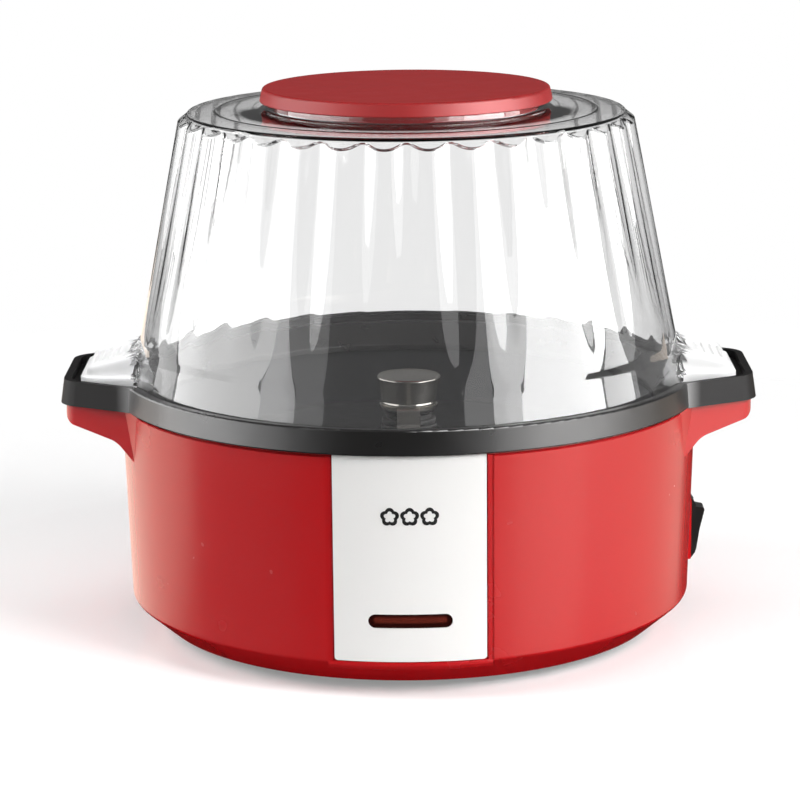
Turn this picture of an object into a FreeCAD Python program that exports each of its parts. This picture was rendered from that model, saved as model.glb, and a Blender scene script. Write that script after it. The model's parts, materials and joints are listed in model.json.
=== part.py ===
"""Popcorn maker: heated pan under a clear dome, stirred by a geared motor. Millimetres, +Z up.

The origin is on the table under the centre of the round housing. -Y is the front, with the white
panel; the handles point along +X and -X and the mains switch is on the +X side.
Words with an underscore inside an expression are cells of the Sizes sheet.
"""
import FreeCAD, Part
import math
import os
import re
import Sketcher

Vector = FreeCAD.Vector
Rotation = FreeCAD.Rotation
Z_AXIS = Vector(0, 0, 1)
ALONG_X = Rotation(Vector(0, 1, 0), 90)
ALONG_Y = Rotation(Vector(1, 0, 0), -90)

SIZES = {
    # Housing: a conical wall over an undercut base ring.
    "wall_top_radius": 145.1, "wall_top_height": 119.2, "wall_low_radius": 141.9,
    "wall_low_height": 17.9, "wall_thickness": 2.4, "wall_chamfer": 0.9, "ring_radius": 126.6,
    "ring_height": 4.8, "ledge_radius": 107.0, "rib_radius": 127.0, "rib_low": 92.0, "rib_top": 111.4,
    "rib_half": 2.5, "sill_low": 14.4, "post_radius": 4.2,
    # Black rim with its two handle trays.
    "rim_radius": 147.0, "rim_top_radius": 145.7, "rim_top": 131.4, "groove_radius": 140.0,
    "groove_height": 127.0, "funnel_radius": 124.0, "funnel_height": 116.5, "lip_height": 113.6,
    "handle_tip": 173.7, "handle_tip_half": 31.8, "handle_root": 128.0, "handle_root_half": 57.1,
    "handle_corner": 15.0, "handle_draft": -8.5, "tray_tip": 168.4, "tray_tip_half": 29.3,
    "tray_root_half": 51.7, "tray_floor": 127.5,
    # Red bracket under each handle.
    "bracket_tip": 171.0, "bracket_tip_half": 30.0, "bracket_root_half": 52.5, "bracket_low": 110.1,
    "bracket_knee": 144.6, "bracket_knee_height": 102.9, "bracket_foot": 130.0,
    "bracket_foot_height": 87.0, "rim_screw_x": 157.0, "rim_screw_y": 15.0, "rim_screw_head": 108.0,
    # Front panel and its neon window.
    "panel_half": 35.9, "recess_half": 36.6, "recess_step": 2.3, "panel_gap": 0.9, "panel_corner": 1.6,
    "window_height": 38.7, "window_half": 19.85, "window_half_height": 3.48, "lamp_y": 131.1,
    # Rocker switch on the +X side.
    "switch_height": 46.4, "switch_plane": 143.6, "bezel_half": 15.3, "bezel_half_width": 7.8,
    "bezel_depth": 2.3, "bezel_slope": 2.7, "opening_half": 13.3, "opening_half_width": 5.7,
    "pivot_x": 140.6, "rocker_tilt": 11.0, "rocker_half": 11.6, "rocker_width": 10.4,
    "pivot_radius": 1.5,
    # Non-stick pan.
    "pan_floor": 94.0, "pan_floor_radius": 88.0, "pan_thickness": 1.8, "pan_flange": 131.0,
    "pan_flange_height": 113.4, "hub_radius": 23.4, "hub_top_radius": 14.5, "hub_top": 98.5,
    # Heater under the pan.
    "element_radius": 62.0, "element_tube": 3.3, "element_height": 88.7, "shield_height": 79.0,
    "stud_x": 52.0, "stud_y": 14.0, "stud_radius": 2.5,
    # Stirrer and its drive.
    "shaft_radius": 4.0, "running_gap": 0.05, "shaft_top": 121.5, "arm_height": 110.0,
    "arm_thickness": 1.6, "arm_width": 11.7, "arm_reach": 80.0, "knob_top": 126.1,
    "knob_radius": 16.25, "case_low": 44.0, "case_high": 62.0, "case_half": 26.0,
    "case_back": 46.0, "gear_spacing": 27.0, "gear_low": 51.0, "gear_width": 6.0,
    "motor_radius": 25.0, "motor_low": 23.0, "motor_shaft_radius": 2.5, "bracket_plate": 64.4,
    # Bottom cover, feet and cord inlet.
    "cover_radius": 123.6, "cover_low": 6.2, "cover_thickness": 2.4, "screw_circle": 113.0,
    "foot_circle": 98.0, "foot_radius": 9.0, "inlet_height": 32.0, "inlet_radius": 3.5,
    "gland_y": 138.0, "gland_length": 9.0,
    # Clear dome and its cap.
    "dome_low": 127.3, "dome_low_radius": 139.0, "dome_seat_radius": 138.2, "dome_wall_radius": 134.7,
    "dome_wall_height": 149.0, "dome_top_radius": 113.7, "dome_top_height": 257.4,
    "shoulder_radius": 109.0, "shoulder_height": 261.2, "neck_radius": 70.0, "neck_base": 262.8,
    "neck_top": 268.3, "dome_thickness": 2.2, "tab_tip": 163.8, "tab_tip_half": 29.5,
    "tab_root_half": 49.0, "cap_radius": 72.9, "cap_top_radius": 71.4, "cap_low": 266.2,
    "cap_top": 273.0,
}
OUTPUT_TEETH = 40
PINION_TEETH = 14
GEAR_MODULE = 1.0
BACKLASH = 0.14
PRESSURE_ANGLE = math.radians(20)
CASE_EARS = [("-case_half - 3", 0), ("case_half + 3", 0)]

doc = FreeCAD.newDocument("popcorn_maker")
sheet = doc.addObject("Spreadsheet::Sheet", "Sizes")
for row, (alias, size) in enumerate(SIZES.items(), start=1):
    sheet.set(f"A{row}", alias)
    sheet.set(f"B{row}", str(size))
    sheet.setAlias(f"B{row}", alias)
doc.recompute()
nodes = []


def on_sheet(expression):
    """The expression with every cell name written as Sizes.name."""
    return re.sub(r"\b([a-z]+_\w+)\b", r"Sizes.\1", str(expression))


def number(expression):
    """What an expression on the sheet comes to."""
    found = sheet.evalExpression(on_sheet(expression))
    return float(getattr(found, "Value", found))


def bind(item, **expressions):
    """Bind properties of a document object to expressions; __ stands for a dot."""
    for name, expression in expressions.items():
        item.setExpression(name.replace("__", "."), on_sheet(expression))
    return item


def move(item, x=0, y=0, z=0):
    """Bind the place of a document object."""
    return bind(item, Placement__Base__x=x, Placement__Base__y=y, Placement__Base__z=z)


def node(item, name):
    """Name a finished sub-part, to be written to its own file."""
    item.Label = name
    nodes.append(item)
    return item


def draw(sketch, corners):
    """Closed outline through (x, y) or (x, y, fillet radius) corners, each bound to the sheet."""
    places = [Vector(number(corner[0]), number(corner[1]), 0) for corner in corners]
    count = len(corners)
    first = sketch.GeometryCount
    for here in range(count):
        sketch.addGeometry(Part.LineSegment(places[here], places[(here + 1) % count]))
    for here in range(count):
        after = first + (here + 1) % count
        sketch.addConstraint(Sketcher.Constraint("Coincident", first + here, 2, after, 1))
        for kind, expression in (("DistanceX", corners[here][0]), ("DistanceY", corners[here][1])):
            index = sketch.addConstraint(Sketcher.Constraint(kind, first + here, 1, number(expression)))
            sketch.setExpression(f"Constraints[{index}]", on_sheet(expression))
    for here, corner in enumerate(corners):
        if len(corner) == 3:
            round_corner(sketch, first, here, places, corner[2])


def round_corner(sketch, first, here, places, radius):
    """Round one corner of an outline with a tangent arc."""
    count = len(places)
    before = places[here] + (places[here - 1] - places[here]) * 0.1
    after = places[here] + (places[(here + 1) % count] - places[here]) * 0.1
    arc = sketch.GeometryCount
    sketch.fillet(first + (here - 1) % count, first + here, before, after, number(radius), True, True)
    index = sketch.addConstraint(Sketcher.Constraint("Radius", arc, number(radius)))
    sketch.setExpression(f"Constraints[{index}]", on_sheet(radius))


def sketched_body(name, plane, corners, height=0):
    """A body with one closed outline on an origin plane, raised by height."""
    body = doc.addObject("PartDesign::Body", name)
    sketch = body.newObject("Sketcher::SketchObject", name + "_outline")
    origin_plane = next(item for item in body.Origin.OriginFeatures if item.Role == plane)
    sketch.AttachmentSupport = [(origin_plane, "")]
    sketch.MapMode = "FlatFace"
    bind(sketch, AttachmentOffset__Base__z=height)
    draw(sketch, corners)
    return body, sketch


def lathe(name, corners, angle=360):
    """An outline in X and Z turned about the Z axis."""
    body, sketch = sketched_body(name, "XZ_Plane", corners)
    turn = body.newObject("PartDesign::Revolution", name + "_turn")
    turn.Profile = sketch
    turn.ReferenceAxis = (sketch, ["V_Axis"])
    turn.Angle = angle
    turn.Midplane = angle < 360
    return body


def plate(name, corners, low, height, taper=0):
    """An outline in X and Y, padded upwards from low."""
    body, sketch = sketched_body(name, "XY_Plane", corners, low)
    pad = body.newObject("PartDesign::Pad", name + "_pad")
    pad.Profile = sketch
    bind(pad, Length=height, TaperAngle=taper)
    return body


def slab(name, corners, width, plane="XZ_Plane"):
    """A side outline padded equally both ways."""
    body, sketch = sketched_body(name, plane, corners)
    pad = body.newObject("PartDesign::Pad", name + "_pad")
    pad.Profile = sketch
    pad.Midplane = True
    bind(pad, Length=width)
    return body


def cylinder(name, radius, height, x=0, y=0, z=0, turn=None):
    item = bind(doc.addObject("Part::Cylinder", name), Radius=radius, Height=height)
    if turn:
        item.Placement.Rotation = turn
    return move(item, x, y, z)


def box(name, x, y, z):
    """A box between pairs of bounds along X, Y and Z."""
    item = doc.addObject("Part::Box", name)
    bind(item, Length=f"({x[1]}) - ({x[0]})", Width=f"({y[1]}) - ({y[0]})", Height=f"({z[1]}) - ({z[0]})")
    return move(item, x[0], y[0], z[0])


def centred_box(name, x, half_width, z):
    """A box between bounds along X and Z that is centred on Y = 0."""
    return box(name, x, (f"-({half_width})", half_width), z)


def join(name, *pieces):
    item = doc.addObject("Part::MultiFuse", name)
    item.Shapes = list(pieces)
    item.Refine = True
    return item


def overlap(name, *pieces):
    item = doc.addObject("Part::MultiCommon", name)
    item.Shapes = list(pieces)
    return item


def cut(name, base, *tools):
    """Base without the tools; a cut that removes nothing is an error."""
    item = doc.addObject("Part::Cut", name)
    item.Base = base
    item.Tool = tools[0] if len(tools) == 1 else join(name + "_tools", *tools)
    doc.recompute()
    if item.Shape.Volume > base.Shape.Volume - 1e-6:
        raise ValueError(name + " cuts nothing")
    return item


def pegs(name, places, radius, low, height):
    """Upright cylinders, one at each (x, y) place."""
    return join(name, *[
        cylinder(f"{name}_{index}", radius, height, x, y, low) for index, (x, y) in enumerate(places)])


def around(circle, count, start=0):
    """Places spread evenly round a circle, as (x, y) expressions."""
    angles = [start + 360 * index / count for index in range(count)]
    return [(f"{circle} * cos({angle} deg)", f"{circle} * sin({angle} deg)") for angle in angles]


def corners_of(x, y):
    """The four places at plus and minus x and y."""
    return [(f"{side_x} * {x}", f"{side_y} * {y}") for side_x in (-1, 1) for side_y in (-1, 1)]


def wall_cone(name, offset):
    """Solid cone as high as the wall, its surface off the wall's outer face by offset."""
    item = doc.addObject("Part::Cone", name)
    bind(item, Radius1=f"wall_low_radius + {offset}", Radius2=f"wall_top_radius + {offset}",
         Height="wall_top_height - wall_low_height")
    return move(item, z="wall_low_height")


def wall_layer(name, outside, inside, half_width, low, high):
    """Part of a layer that follows the front of the wall."""
    layer = cut(name + "_layer", wall_cone(name + "_outside", outside), wall_cone(name + "_inside", inside))
    window = box(name + "_window", (f"-({half_width})", half_width), ("-rim_radius", -100), (low, high))
    return overlap(name, layer, window)


def trapezoid(side, root, root_half, tip, tip_half, corner):
    """Plan of a handle piece: wide at its root by the rim, narrow at its tip."""
    return [(f"{side} * ({root})", f"-({root_half})"), (f"{side} * ({tip})", f"-({tip_half})", corner),
            (f"{side} * ({tip})", tip_half, corner), (f"{side} * ({root})", root_half)]


def bracket(name, side, inset):
    """Solid under one handle, flat on top, its lower face rising outwards; inset shrinks it."""
    profile = [
        (f"{side} * bracket_foot", "wall_top_height + 1"),
        (f"{side} * (bracket_tip - {inset})", "wall_top_height + 1"),
        (f"{side} * (bracket_tip - {inset})", f"bracket_low + 0.7 * {inset}", f"5.5 - {inset}"),
        (f"{side} * bracket_knee", f"bracket_knee_height + 1.1 * {inset}", 12),
        (f"{side} * bracket_foot", f"bracket_foot_height + 1.1 * {inset}")]
    plan = trapezoid(side, "handle_root", f"bracket_root_half - 1.14 * {inset}", f"bracket_tip - {inset}",
                     f"bracket_tip_half - 0.6 * {inset}", f"9 - {inset}")
    side_slab = slab(name + "_profile", profile, "2 * handle_root_half")
    plan_plate = plate(name + "_plan", plan, "bracket_foot_height - 10",
                       "wall_top_height - bracket_foot_height + 10")
    return overlap(name, side_slab, plan_plate)


def blend_facet(name, side, end):
    """Small four-sided solid that softens the corner between the wall and a bracket."""
    top = number("wall_top_height")
    points = [Vector(side * x, end * y, z) for x, y, z in
              ((139.8, 47.2, top), (132.6, 58.6, top), (128.0, 47.0, top), (135.3, 49.9, top - 26.5))]
    faces = [Part.Face(Part.makePolygon([points[a], points[b], points[c], points[a]]))
             for a, b, c in ((0, 1, 2), (0, 1, 3), (1, 2, 3), (2, 0, 3))]
    item = doc.addObject("Part::Feature", name)
    solid = Part.Solid(Part.Shell(faces))
    if solid.Volume < 0:
        solid.reverse()
    item.Shape = solid
    return item


def shell_wall():
    """The housing's wall: an undercut foot ring, the conical wall, and a chamfer under the rim."""
    return lathe("shell_wall", [
        ("ring_radius", "ring_height", 0.8), ("wall_low_radius", "wall_low_height", 2),
        ("wall_top_radius", "wall_top_height - 2 * wall_chamfer"),
        ("wall_top_radius - wall_chamfer", "wall_top_height - wall_chamfer"),
        ("wall_top_radius - wall_chamfer", "wall_top_height"),
        ("wall_top_radius - wall_thickness", "wall_top_height"),
        ("wall_low_radius - wall_thickness", "wall_low_height + 1"),
        ("ring_radius + 3.6", "ring_height + 6.4"),
        ("ledge_radius", "ring_height + 6.4"), ("ledge_radius", "ring_height + 4"),
        ("ring_radius - 2.4", "ring_height + 4"), ("ring_radius - 2.4", "ring_height")])


def shell_ribs():
    """Four ribs inside the wall that the rim's funnel rests on."""
    ribs = []
    for index in range(4):
        rib = box(f"shell_rib_{index}", ("rib_radius", "wall_top_radius - 2"), ("-rib_half", "rib_half"),
                  ("rib_low", "rib_top"))
        rib.Placement.Rotation = Rotation(Z_AXIS, 45 + 90 * index)
        angle = f"{45 + 90 * index} deg"
        move(rib, f"rib_radius * cos({angle}) + rib_half * sin({angle})",
             f"rib_radius * sin({angle}) - rib_half * cos({angle})", "rib_low")
        ribs.append(rib)
    return ribs


def shell_sill():
    """Lip under the front panel, proud of the undercut foot ring."""
    block = lathe("sill_ring", [
        ("wall_low_radius - 8", "sill_low"), ("wall_low_radius - 1.5", "sill_low", 1),
        ("wall_low_radius", "sill_low + 2.2", 1), ("wall_low_radius", "wall_low_height + 0.5"),
        ("wall_low_radius - 8", "wall_low_height + 0.5")])
    half = "recess_half + recess_step"
    return overlap("sill", block, box("sill_front", (f"-({half})", half), (-200, -100), (0, 60)))


def switch_pad():
    """Flat on the wall that the mains switch sits on."""
    low = "switch_height - bezel_half - 0.8"
    high = "switch_height + bezel_half + 0.8"
    return slab("switch_pad", [
        ("switch_plane - 12", low), ("switch_plane", low, 1), ("switch_plane", high, 1),
        ("switch_plane - 12", high)], "2 * bezel_half_width + 2.4")


def bracket_pocket(name, side):
    """Hollow inside one bracket, with the two screw bosses left standing."""
    places = [(f"{side} * rim_screw_x", "-rim_screw_y"), (f"{side} * rim_screw_x", "rim_screw_y")]
    inner = bracket(f"pocket_{name}_space", side, "wall_thickness")
    bosses = pegs(f"pocket_{name}_bosses", places, 4.4, 80, 60)
    return cut(f"pocket_{name}", inner, wall_cone(f"pocket_{name}_wall", 0), bosses)


def panel_recess():
    """Recess that the front panel drops into, with a shallow step round it."""
    low = "wall_low_height - 1"
    high = "wall_top_height + 1"
    half = "recess_half + recess_step"
    return [wall_layer("panel_recess", 6, -2.3, "recess_half", "wall_low_height + 0.4", high),
            wall_layer("panel_step", 6, -0.5, half, low, high),
            wall_layer("panel_edge", 6, -0.2, f"{half} + 0.4", low, high)]


def make_shell():
    wall = shell_wall()
    posts = pegs("shell_posts", around("screw_circle", 4), "post_radius", "ring_height + 5", 17)
    brackets = [bracket("bracket_right", 1, "0"), bracket("bracket_left", -1, "0")]
    facets = [blend_facet(f"facet_{side}_{end}", side, end) for side in (-1, 1) for end in (-1, 1)]
    outworks = [cut(f"outwork_{index}", item, wall_cone(f"outwork_wall_{index}", -1.2))
                for index, item in enumerate(brackets + facets)]
    backing = wall_layer("panel_backing", -1.5, -5, "recess_half + 3.5", "wall_low_height + 2",
                         "wall_top_height - 9")
    solid = join("shell_solid", wall, posts, switch_pad(), backing, shell_sill(), *shell_ribs(), *outworks)
    flat_top = cylinder("shell_flat_top", 200, 10, z="wall_top_height")
    pockets = [bracket_pocket("right", 1), bracket_pocket("left", -1)]
    rim_places = corners_of("rim_screw_x", "rim_screw_y")
    rim_holes = pegs("rim_screw_holes", rim_places, 1.8, 90, 40)
    rim_sinks = pegs("rim_screw_sinks", rim_places, 3.6, 90, "rim_screw_head + 2 - 90")
    post_holes = pegs("post_holes", around("screw_circle", 4), 1.6, "ring_height", 19)
    window = box("window_hole", ("-window_half - 0.3", "window_half + 0.3"), (-150, -120),
                 ("window_height - window_half_height - 0.3", "window_height + window_half_height + 0.3"))
    switch_hole = centred_box("switch_hole", (110, 150), "bezel_half_width - 0.8",
                              ("switch_height - bezel_half + 1.1", "switch_height + bezel_half - 1.1"))
    inlet = cylinder("inlet_hole", "inlet_radius + 2.1", 30, 0, 125, "inlet_height", ALONG_Y)
    node(cut("shell_finished", solid, flat_top, *pockets, rim_holes, rim_sinks, post_holes, *panel_recess(),
             window, switch_hole, inlet), "outer_shell")


def rim_section():
    """Section of the black rim: outer skirt, top edge, groove for the dome, funnel and inner lip."""
    return lathe("rim_profile", [
        ("rim_radius", "wall_top_height + 0.1", 0.6), ("rim_top_radius", "rim_top", 1),
        ("groove_radius + 1.8", "rim_top"), ("groove_radius + 1.6", "rim_top - 0.9"),
        ("groove_radius", "rim_top - 0.9"), ("groove_radius", "groove_height"),
        ("groove_radius - 5.5", "groove_height", 1.5), ("funnel_radius", "funnel_height", 1),
        ("funnel_radius", "lip_height"), ("funnel_radius + 2.4", "lip_height"),
        ("funnel_radius + 2.4", "funnel_height - 0.8"), ("groove_radius - 4.8", "groove_height - 2.4"),
        ("rim_radius - 8.2", "groove_height - 2.4"), ("rim_radius - 8.2", "lip_height"),
        ("rim_radius - 5.8", "lip_height"), ("rim_radius - 5.8", "wall_top_height + 0.1")])


def handle_block(name, side):
    """Solid outline of one handle, with its draft, outside the ring."""
    plan = trapezoid(side, "handle_root", "handle_root_half", "handle_tip", "handle_tip_half",
                     "handle_corner")
    block = plate(f"handle_{name}", plan, "wall_top_height + 0.1", "rim_top - wall_top_height - 0.1",
                  "handle_draft")
    core = cylinder(f"rim_core_{name}", "groove_radius + 2", 40, 0, 0, 100)
    return cut(f"handle_block_{name}", block, core)


def handle_hollow(name, side):
    """Space inside one handle, open below onto its bracket."""
    plan = trapezoid(side, "handle_root", "bracket_root_half - 2.7", "bracket_tip - 2.4",
                     "bracket_tip_half - 1.4", "handle_corner - 4")
    return plate(f"handle_hollow_{name}", plan, "wall_top_height - 1", "tray_floor - wall_top_height - 1.4")


def handle_tray(name, side):
    """Shallow tray in the top of one handle, where the dome's tab lies."""
    plan = trapezoid(side, "handle_root", "tray_root_half", "tray_tip", "tray_tip_half", "handle_corner - 3")
    return plate(f"tray_{name}", plan, "tray_floor", 10)


def make_rim():
    sides = (("right", 1), ("left", -1))
    bosses = pegs("handle_bosses", corners_of("rim_screw_x", "rim_screw_y"), 4.2, 110, 25)
    keep_ring = cylinder("handle_keep_ring", "rim_radius", 60, 0, 0, 90)
    hollow_pair = join("handle_hollow_pair", *[handle_hollow(name, side) for name, side in sides])
    hollow_cut = cut("handle_hollows", hollow_pair, keep_ring, bosses)
    pilots = pegs("rim_pilots", corners_of("rim_screw_x", "rim_screw_y"), 1.5, 110, 16)
    solid = join("rim_solid", rim_section(), *[handle_block(name, side) for name, side in sides])
    trays = [handle_tray(name, side) for name, side in sides]
    node(cut("rim_finished", solid, hollow_cut, *trays, pilots), "rim_ring")


def make_panel():
    layer = wall_layer("panel_layer", -0.3, -2.2, "panel_half + 2", "wall_low_height", "wall_top_height")
    outline = slab("panel_outline", [
        ("-panel_half", "wall_low_height + panel_gap", "panel_corner"),
        ("panel_half", "wall_low_height + panel_gap", "panel_corner"),
        ("panel_half", "wall_top_height - 0.4"), ("-panel_half", "wall_top_height - 0.4")], 400)
    face = overlap("panel_face", layer, outline)
    hole = slab("panel_window", stadium("window_half", "window_half_height"), 400)
    behind = box("panel_behind", (-100, 100), (0, 300), (0, 200))
    node(cut("panel_cut", face, cut("panel_window_front", hole, behind)), "front_panel")
    shape = slab("lens_shape", stadium("window_half - 0.12", "window_half_height - 0.12"), 400)
    layer = wall_layer("lens_layer", -0.9, -3.4, 30, "wall_low_height + 5", "wall_low_height + 40")
    node(overlap("lens_body", shape, layer), "indicator_lens")
    node(cylinder("lamp_tube", 2.4, 26, -13, "-lamp_y", "window_height", ALONG_X), "indicator_lamp")
    holder = box("holder_block", (-17, 17), ("-lamp_y - 4.8", "-lamp_y + 5.6"),
                 ("window_height - 5", "window_height + 5"))
    space = box("holder_space", (-15, 15), ("-lamp_y - 5.4", "-lamp_y + 3.6"),
                ("window_height - 3.4", "window_height + 3.4"))
    node(cut("holder_cut", holder, space), "lamp_holder")


def stadium(half, half_height):
    """Long window with round ends, in X and Z, at the height of the neon lamp."""
    low = f"window_height - ({half_height})"
    high = f"window_height + ({half_height})"
    radius = f"{half_height} - 0.04"
    return [(f"-({half})", low, radius), (half, low, radius), (half, high, radius),
            (f"-({half})", high, radius)]


def make_switch():
    body = centred_box("switch_box", ("switch_plane - 24", "switch_plane + 1"), "bezel_half_width - 1",
                       ("switch_height - bezel_half + 1.3", "switch_height + bezel_half - 1.3"))
    bezel = slab("bezel", [
        ("switch_plane + 0.05", "switch_height - bezel_half"),
        ("switch_plane + 0.4", "switch_height - bezel_half"),
        ("switch_plane + bezel_depth", "switch_height - bezel_half + bezel_slope"),
        ("switch_plane + bezel_depth", "switch_height + bezel_half - bezel_slope"),
        ("switch_plane + 0.4", "switch_height + bezel_half"),
        ("switch_plane + 0.05", "switch_height + bezel_half")], "2 * bezel_half_width")
    well = centred_box("switch_well", ("switch_plane - 13", "switch_plane + 10"), "opening_half_width",
                       ("switch_height - opening_half", "switch_height + opening_half"))
    bore = cylinder("pivot_bore", "pivot_radius + running_gap", 12.9, "pivot_x", -6.45, "switch_height",
                    ALONG_Y)
    node(cut("switch_cut", join("switch_solid", body, bezel), well, bore), "switch_housing")
    paddle = slab("rocker_paddle", [
        (-3.2, -5), (2.4, "-rocker_half"), (8.2, "-rocker_half", 1.2), (7.7, 0, 14),
        (8.2, "rocker_half", 1.2), (2.4, "rocker_half"), (-3.2, 5)], "rocker_width")
    pin = cylinder("rocker_pin", "pivot_radius", 12.6, 0, -6.3, 0, ALONG_Y)
    rocker = join("rocker_solid", paddle, pin)
    rocker.Placement.Rotation = Rotation(Vector(0, 1, 0), number("rocker_tilt"))
    node(move(rocker, "pivot_x", 0, "switch_height"), "switch_rocker")
    blades = [box(f"blade_{index}", ("switch_plane - 34", "switch_plane - 24.02"), (-3.15, 3.15),
                  (f"switch_height + {rise} - 0.4", f"switch_height + {rise} + 0.4"))
              for index, rise in enumerate((-9, 0, 9))]
    node(join("blade_set", *blades), "switch_terminals")


def make_pan():
    pan = lathe("pan_profile", [
        (6.6, "hub_top"), ("hub_top_radius", "hub_top", 2), ("hub_radius", "pan_floor", 4),
        ("pan_floor_radius", "pan_floor", 14), (122, 112, 3), ("funnel_radius + 0.5", "pan_flange_height"),
        ("pan_flange", "pan_flange_height"), ("pan_flange", "pan_flange_height - pan_thickness"),
        ("funnel_radius + 1.2", "pan_flange_height - pan_thickness"), (123, "112 - pan_thickness", 3),
        ("pan_floor_radius + 0.4", "pan_floor - pan_thickness", 14),
        ("hub_radius - 0.4", "pan_floor - pan_thickness", 4),
        ("hub_top_radius - 0.4", "hub_top - pan_thickness", 2), (6.6, "hub_top - pan_thickness")])
    node(pan, "heating_pan")
    node(lathe("bush_profile", [
        ("shaft_radius + running_gap", 84), (6.4, 84), (6.4, 94.4), (10.5, 94.4), (10.5, 96.6),
        (6.5, 96.6), (6.5, 100), ("shaft_radius + running_gap", 100)]), "shaft_bush")
    node(lathe("seal_profile", [
        (6.7, 98.6), (14.2, 98.6, 0.8), (14.2, 101, 0.8), (12, 101.4), (13.7, 101.9, 0.7), (13.7, 104.3, 0.7),
        (11.6, 104.7), (11.6, 106.8), (5, 106.8), (5, 100.4), (6.7, 100.4)]), "shaft_seal")


def make_heater():
    ring = doc.addObject("Part::Torus", "element_ring")
    bind(ring, Radius1="element_radius", Radius2="element_tube")
    ring.Angle3 = 330
    ring.Placement.Rotation = Rotation(Z_AXIS, -75)
    move(ring, z="element_height")
    ends = [(f"element_radius * cos({angle} deg)", f"element_radius * sin({angle} deg)")
            for angle in (-75, -105)]
    legs = pegs("element_legs", ends, "element_tube", 74, "element_height - 74")
    node(join("element_solid", ring, legs), "heating_element")
    sleeves = pegs("terminal_sleeves", ends, 4.6, 70, 3.95)
    tabs = [box(f"terminal_tab_{index}", (f"{x} - 3", f"{x} + 3"), (f"{y} - 0.4", f"{y} + 0.4"), (61, 70.5))
            for index, (x, y) in enumerate(ends)]
    node(join("terminal_set", sleeves, *tabs), "element_terminals")
    clips = []
    for index in range(3):
        clip = lathe(f"clip_{index}", [
            (53, 92), (53, 91), (57.6, 91), (57.6, 84.2), (66.4, 84.2), (66.4, 91), (71, 91), (71, 92),
            (65.6, 92), (65.6, 85.2), (58.4, 85.2), (58.4, 92)], 8)
        clip.Placement.Rotation = Rotation(Z_AXIS, 45 + 90 * index)
        clips.append(clip)
    node(join("clip_set", *clips), "element_clips")
    shield = lathe("shield_profile", [
        (14, "shield_height"), (98, "shield_height", 4), (104, "shield_height + 7"),
        (103.2, "shield_height + 7.5"), (97.6, "shield_height + 0.8", 3.5), (14, "shield_height + 0.8")])
    stud_holes = pegs("shield_stud_holes", corners_of("stud_x", "stud_y"), 2.8, 70, 30)
    leg_holes = pegs("shield_leg_holes", ends, 6, 70, 30)
    node(cut("shield_cut", shield, stud_holes, leg_holes), "heat_shield")
    thermostat = lathe("thermostat_profile", [
        (0, 82), (7.2, 82, 1), (7.2, 84.4), (8, 84.4), (8, 90.6), (10.6, 90.6), (10.6, 92), (0, 92)])
    node(move(thermostat, 0, -38, 0), "thermostat")
    barrel = cylinder("fuse_barrel", 2.6, 13, -6.5, 38, 88.4, ALONG_X)
    leads = cylinder("fuse_leads", 0.6, 34, -17, 38, 88.4, ALONG_X)
    clamp = box("fuse_clamp", (-2.5, 2.5), (34.4, 41.6), (85.2, 91.9))
    node(join("fuse_solid", barrel, leads, clamp), "thermal_fuse")


def make_frame():
    places = corners_of("stud_x", "stud_y")
    node(pegs("studs", places, "stud_radius", "bracket_plate - 4",
              "pan_floor - pan_thickness - bracket_plate + 3.9"), "pan_studs")
    nuts = []
    for index, (x, y) in enumerate(places):
        nut = doc.addObject("Part::Prism", f"nut_{index}")
        nut.Polygon = 6
        bind(nut, Circumradius="stud_radius + 2.2", Height=2.4)
        nuts.append(move(nut, x, y, "bracket_plate - 2.45"))
    bores = pegs("nut_bores", places, "stud_radius + 0.03", "bracket_plate - 4", 8)
    node(cut("nut_set", join("nut_blanks", *nuts), bores), "stud_nuts")
    strap = plate("strap", [
        (-60, -22, 8), (60, -22, 8), (60, 22, 8), (-60, 22, 8)], "bracket_plate", 1.5)
    stud_holes = pegs("strap_stud_holes", places, "stud_radius + 0.1", "bracket_plate - 1", 4)
    shaft_hole = cylinder("strap_shaft_hole", 8, 10, 0, 0, "bracket_plate - 4")
    ear_holes = pegs("strap_ear_holes", CASE_EARS, 1.7, "bracket_plate - 1", 4)
    node(cut("strap_cut", strap, stud_holes, shaft_hole, ear_holes), "motor_bracket")


def case_outline(inset):
    """Plan of the gear case, smaller all round by inset."""
    half = f"case_half - {inset}"
    front = f"-case_half + {inset}"
    back = f"case_back - {inset}"
    radius = 12 - inset
    return [(f"-({half})", front, radius), (half, front, radius), (half, back, radius),
            (f"-({half})", back, radius)]


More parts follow.
